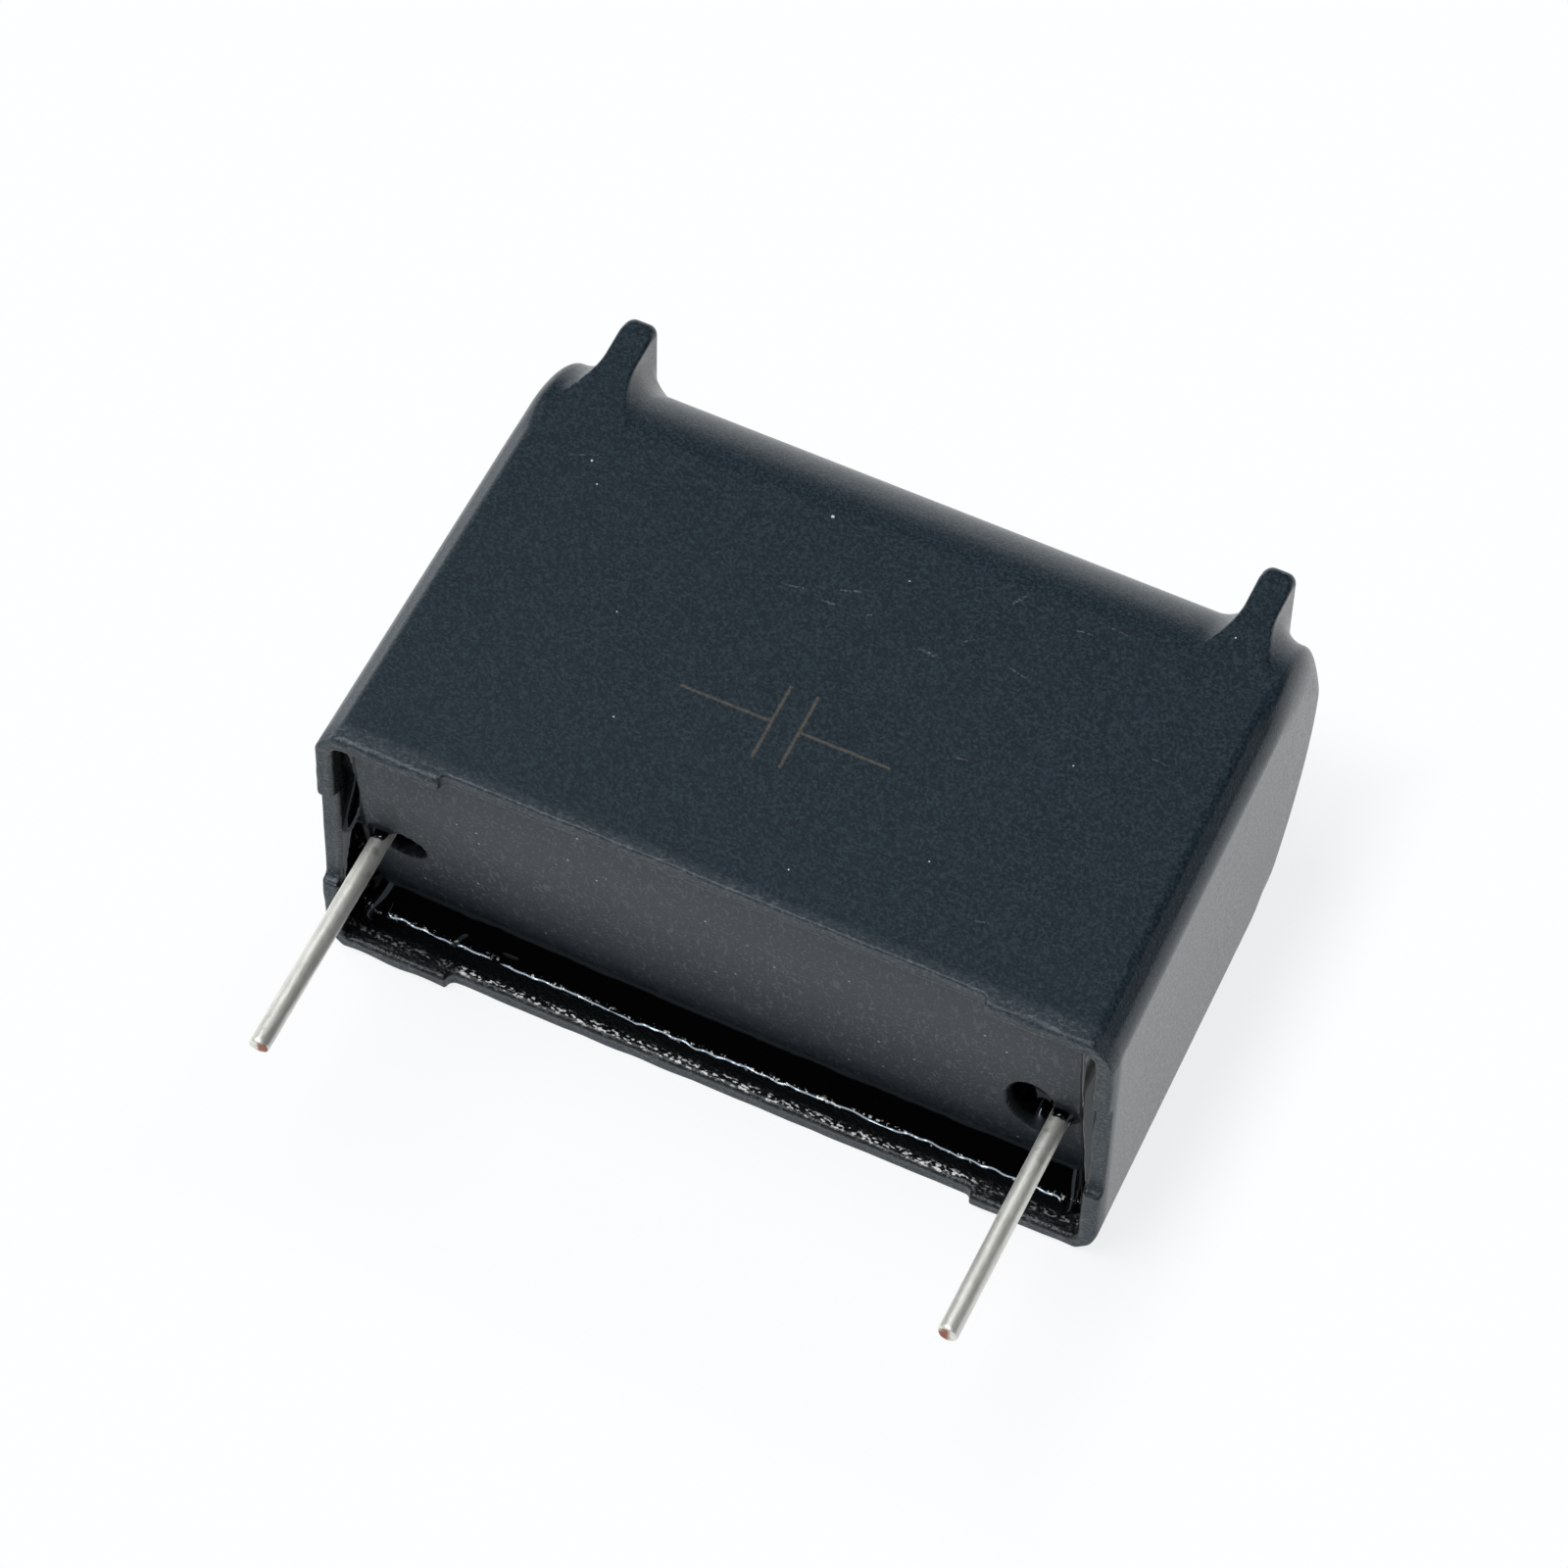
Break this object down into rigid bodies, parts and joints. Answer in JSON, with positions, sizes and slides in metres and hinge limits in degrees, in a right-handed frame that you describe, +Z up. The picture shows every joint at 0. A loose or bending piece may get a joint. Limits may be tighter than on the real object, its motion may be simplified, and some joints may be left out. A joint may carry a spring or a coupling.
{
  "type": "box film capacitor",
  "caption": "Potted box film capacitor lying on a large face: black moulded case with standoff feet, crowned closed end and horns, and round tinned leads.",
  "frame": {"origin": "on the lower large face, under the middle of the whole part's length and depth", "axes": "+X along the lead pitch, +Y from the lead tips to the closed end with the horns, +Z up through the thickness, out of the upper large face"},
  "size_m": [0.0318, 0.031, 0.0144],
  "materials": {
    "case_plastic": "fine moulded grain, matte bluish black",
    "epoxy": "poured, glossy black with a satin skin",
    "film": "wound metallised film, silvery",
    "sprayed_zinc": "sprayed metal, rough grey",
    "tinned_copper": "satin tin, lightly scuffed, copper at the cut ends",
    "weld_metal": "dull weld metal"
  },
  "bodies": {
    "root": {"case": "case_plastic", "potting_resin": "epoxy", "film_winding": "film", "end_spray_left": "sprayed_zinc", "end_spray_right": "sprayed_zinc", "lead_left": "tinned_copper", "lead_right": "tinned_copper", "lead_weld_left": "weld_metal", "lead_weld_right": "weld_metal"}
  },
  "joints": []
}
